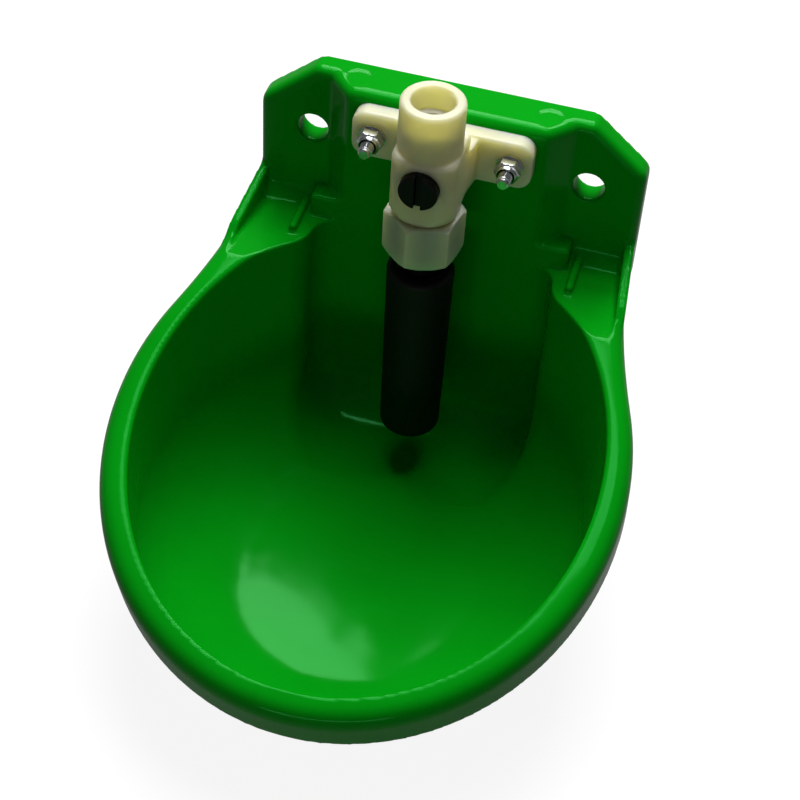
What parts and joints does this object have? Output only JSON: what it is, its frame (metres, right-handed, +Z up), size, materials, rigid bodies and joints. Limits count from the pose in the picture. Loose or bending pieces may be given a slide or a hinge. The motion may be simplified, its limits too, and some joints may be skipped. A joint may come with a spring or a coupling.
{
  "type": "livestock drinking bowl",
  "caption": "Wall-hung plastic drinking bowl for livestock with a rolled rim, a ribbed hollow back plate and a push-tube nylon valve on two bolts.",
  "frame": {"origin": "midpoint between the two wall-screw holes, on the flat back face that lies on the wall", "axes": "+Z up, -Y away from the wall towards the animal, +X to the right seen from the front"},
  "size_m": [0.221, 0.2454, 0.211],
  "materials": {
    "green_polypropylene": "glossy green injection-moulded plastic",
    "ivory_nylon": "ivory nylon, satin moulded",
    "ivory_nylon_inner": "ivory nylon, inside the inlet",
    "stainless_mesh": "stainless steel mesh disc",
    "black_rubber_gasket": "black rubber",
    "black_nylon": "black nylon with a screwdriver slot",
    "black_rubber_regulator": "black rubber",
    "white_acetal": "white acetal",
    "black_rubber_seat": "black rubber",
    "stainless_stem": "turned stainless steel",
    "black_rubber_seal": "black rubber",
    "stainless_spring": "stainless spring wire",
    "ivory_nylon_nut": "ivory nylon, satin moulded",
    "black_slip_ring": "black acetal",
    "grey_nylon": "dark grey nylon",
    "black_rubber_nose": "black moulded rubber",
    "zinc_bolts": "bright zinc-plated steel",
    "zinc_back_washers": "bright zinc-plated steel",
    "zinc_front_washers": "bright zinc-plated steel",
    "zinc_nuts": "bright zinc-plated steel",
    "nylon_inserts": "natural nylon"
  },
  "bodies": {
    "housing": {"bowl": "green_polypropylene", "valve_body": "ivory_nylon", "strainer_ring": "ivory_nylon_inner", "strainer_mesh": "stainless_mesh", "inlet_gasket": "black_rubber_gasket", "seat_bush": "white_acetal", "seat_oring": "black_rubber_seat", "return_spring": "stainless_spring", "union_nut": "ivory_nylon_nut", "mount_bolts": "zinc_bolts", "back_washers": "zinc_back_washers", "front_washers": "zinc_front_washers", "lock_nuts": "zinc_nuts", "nut_inserts": "nylon_inserts"},
    "rocker": {"flange_ring": "black_slip_ring"},
    "nose": {"nose_neck": "grey_nylon", "nose_tube": "black_rubber_nose"},
    "stem": {"valve_stem": "stainless_stem", "stem_seal": "black_rubber_seal"},
    "regulator_carriage": {"regulator_oring": "black_rubber_regulator"},
    "regulator": {"regulator_screw": "black_nylon"}
  },
  "joints": [
    {"name": "nose_tilt", "type": "hinge", "parent": "housing", "child": "rocker", "pos_m": [0, -0.0617, -0.016], "axis": [1, 0, 0], "range_deg": [0, 6], "stiffness_Nm_per_rad": 0.4, "springref_deg": -5.73},
    {"name": "nose_swivel", "type": "hinge", "parent": "rocker", "child": "nose", "pos_m": [0, -0.0502, -0.0145], "axis": [0, 0, 1], "continuous": true},
    {"name": "valve_lift", "type": "slide", "parent": "housing", "child": "stem", "axis": [0, 0, 1], "range_m": [0, 0.00125], "deforming": ["return_spring"]},
    {"name": "regulator_travel", "type": "slide", "parent": "housing", "child": "regulator_carriage", "axis": [0, 1, 0], "range_m": [-0.00095, 0.00095]},
    {"name": "regulator_turn", "type": "hinge", "parent": "regulator_carriage", "child": "regulator", "pos_m": [0, -0.0608, 0.0238], "axis": [0, 1, 0], "range_deg": [-270, 270]}
  ],
  "couplings": [
    {"joint": "valve_lift", "follows": "nose_tilt", "m_per_rad": 0.01185},
    {"joint": "regulator_travel", "follows": "regulator_turn", "m_per_rad": 0.00019894}
  ]
}
